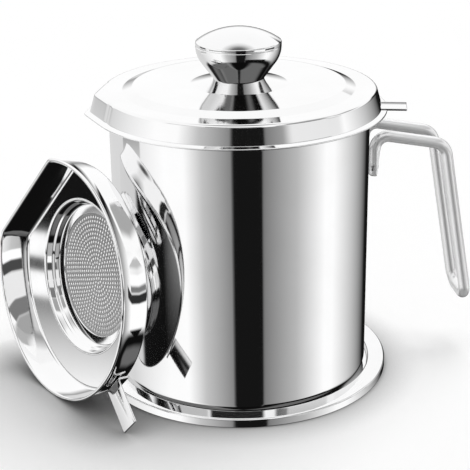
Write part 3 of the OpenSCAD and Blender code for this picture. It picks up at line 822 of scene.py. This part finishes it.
azimuth = calc("MULTIPLY", calc("ARCTAN2", parts.outputs[1], parts.outputs[0]), 180 / math.pi)
azimuth = calc("MODULO", calc("ADD", azimuth, 720 - CAMERA_TURN), 360.0)
height = calc("MINIMUM", calc("MAXIMUM", parts.outputs[2], -1.0), 1.0)
height = calc("MULTIPLY", calc("ARCSINE", height), 180 / math.pi)


def linear(v):
    """The light of a card that is to show as brightness v, 0 to 255."""
    v = v / 255
    return GAIN * (v / 12.92 if v <= 0.04045 else ((v + 0.055) / 1.055) ** 2.4)


def ramp(value, low, high, stops):
    """Brightness along a value: stops holds (value, brightness 0 to 255)."""
    node = nodes.new("ShaderNodeValToRGB")
    bar = node.color_ramp
    links.new(calc("DIVIDE", calc("SUBTRACT", value, low), high - low), node.inputs[0])
    while len(bar.elements) > 1:
        bar.elements.remove(bar.elements[0])
    bar.elements[0].position = 0
    for i, (at, bright) in enumerate(stops):
        element = bar.elements[0] if i == 0 else bar.elements.new((at - low) / (high - low))
        element.color = (linear(bright),) * 3 + (1,)
    return node.outputs[0]


def blend(a, b, share):
    """a where share is 0, b where it is 1."""
    node = nodes.new("ShaderNodeMix")
    node.data_type = "FLOAT"
    for socket, value in ((node.inputs[0], share), (node.inputs[2], a), (node.inputs[3], b)):
        feed(socket, value)
    return node.outputs[0]


# a ring of soft white and grey card, with dark gaps where the camera stands and behind
low = ramp(azimuth, 0, 360, [
    (0, 250), (45, 140), (60, 20), (92, 20), (96, 210), (150, 210), (200, 250), (220, 250),
    (237, 190), (262, 130), (263.5, 20), (288.5, 20), (290, 120), (320, 180), (350, 250)])
# the tent above: white, grey towards the floor line and at the top
high = ramp(height, -10, 90, [(-10, 60), (0, 150), (6, 205), (12, 248), (66, 246), (73, 205),
                              (80, 110), (90, 60)])
# behind the object the tent reaches down to the horizon
rear = calc("MULTIPLY", step(azimuth, 66, 74), calc("SUBTRACT", 1.0, step(azimuth, 140, 150)))
upper = calc("MAXIMUM", step(height, 19, 22), calc("MULTIPLY", step(height, -5, 1), rear))
light = blend(low, high, upper)
# cards and gaps: azimuths, elevations, brightness, blur up and down, blur to the sides
CARDS = [
    # above the horizon in front, for the tray's flange
    ((205, 238), (22, 34), 190, 2, 2),
    ((240, 289), (22, 34), 35, 2, 2),
    ((300, 312), (22, 34), 110, 2, 2),
    # on the right, for the bands inside the standing strainer
    ((312, 345), (-16, -7), 253, 1, 1),
    ((312, 345), (-6, 4), 70, 1, 1),
    ((308, 358), (5.5, 28), 228, 1, 5),
    ((312, 355), (29, 44), 120, 1.5, 1.5),
    ((320, 365), (44, 62), 160, 2, 2),
    ((-5, 25), (44, 62), 175, 3, 3),
    # at the far right, for the bands on its outside
    ((345, 365), (-16, -9), 45, 1, 1),
    ((345, 365), (-8, -3), 120, 1.5, 1.5),
    ((345, 365), (10, 17), 185, 2, 2),
    ((-5, 20), (-16, -9), 45, 1, 1),
    ((5, 45), (30, 42), 165, 3, 3),
    # below, for the knob's cone and for the strainer's flat side and its wall's foot
    ((150, 236), (-91, -46), 100, 3, 12),
    ((236, 372), (-91, -46), 12, 3, 12),
    ((290, 365), (-91, -36), 12, 1.5, 1.5),
    ((-5, 108), (-91, -38), 14, 4, 4),
    ((104, 154), (-91, -38), 30, 3, 3),
    ((312, 372), (-91, -49), 100, 3, 12),
    ((-12, 38), (-91, -49), 100, 3, 8),
    ((116, 150), (-91, -49), 100, 3, 8),
    # a thin dark line in front, for the edge of the knob's cap
    ((185, 312), (-13.8, -10.8), 25, 0.6, 0.6),
]
for azimuths, heights, bright, soft, side_soft in CARDS:
    share = calc("MULTIPLY", between(azimuth, *azimuths, side_soft),
                 between(height, *heights, soft))
    light = blend(light, linear(bright), share)
# a narrow striped card behind on the left, which the strainer's ledge mirrors
stripes = ramp(height, -20, -5, [
    (-20, 250), (-17, 170), (-16.1, 120), (-15.9, 250), (-15.0, 250), (-14.8, 70),
    (-14.4, 70), (-14.2, 250), (-13.3, 250), (-13.1, 20), (-5, 20)])
share = calc("MULTIPLY", between(azimuth, 147, 173, 1), calc(
    "MULTIPLY", step(height, -20.4, -20), calc("SUBTRACT", 1.0, step(height, -6, -4))))
light = blend(light, stripes, share)

# mirror-like rays see the cards, all others a plain white world
glossy = nodes.new("ShaderNodeBackground")
links.new(light, glossy.inputs["Color"])
ray = nodes.new("ShaderNodeLightPath")
plain = nodes.new("ShaderNodeBackground")
plain.inputs["Color"].default_value = (1, 1, 1, 1)
links.new(blend(AMBIENT, BACKGROUND, ray.outputs["Is Camera Ray"]), plain.inputs["Strength"])
mix = nodes.new("ShaderNodeMixShader")
links.new(ray.outputs["Is Glossy Ray"], mix.inputs[0])
links.new(plain.outputs[0], mix.inputs[1])
links.new(glossy.outputs[0], mix.inputs[2])
links.new(mix.outputs[0], output.inputs["Surface"])

SUN_ENERGY, SUN_ANGLE, SUN_FROM = 1.72, 44, Vector((0.34, 0.22, 0.91))
sun = bpy.data.objects.new("soft_key", bpy.data.lights.new("soft_key", "SUN"))
sun.data.energy = SUN_ENERGY
sun.data.angle = math.radians(SUN_ANGLE)
sun.rotation_euler = SUN_FROM.to_track_quat("Z", "Y").to_euler()
sun.visible_glossy = False
bpy.context.scene.collection.objects.link(sun)

# ------------------------------------------------------------------ camera

# fitted to the photograph: place, aim and roll of the camera
eye, aim = Vector((-78.17, -572.96, 289.2)) * MM, Vector((-2.69, 0.35, 65.15)) * MM
ROLL, LENS, SENSOR = math.radians(-0.78), 99.42, 36
back = (eye - aim).normalized()
right = Vector((0, 0, 1)).cross(back).normalized()
up = back.cross(right)
right, up = (right * math.cos(ROLL) + up * math.sin(ROLL),
             up * math.cos(ROLL) - right * math.sin(ROLL))
camera = bpy.data.objects.new("camera", bpy.data.cameras.new("camera"))
camera.data.lens = LENS
camera.data.sensor_width = SENSOR
camera.data.clip_start, camera.data.clip_end = 0.01, 50
camera.matrix_world = Matrix((
    (right.x, up.x, back.x, eye.x), (right.y, up.y, back.y, eye.y),
    (right.z, up.z, back.z, eye.z), (0, 0, 0, 1)))
bpy.context.scene.collection.objects.link(camera)
bpy.context.scene.camera = camera
bpy.context.scene.view_settings.view_transform = "Standard"
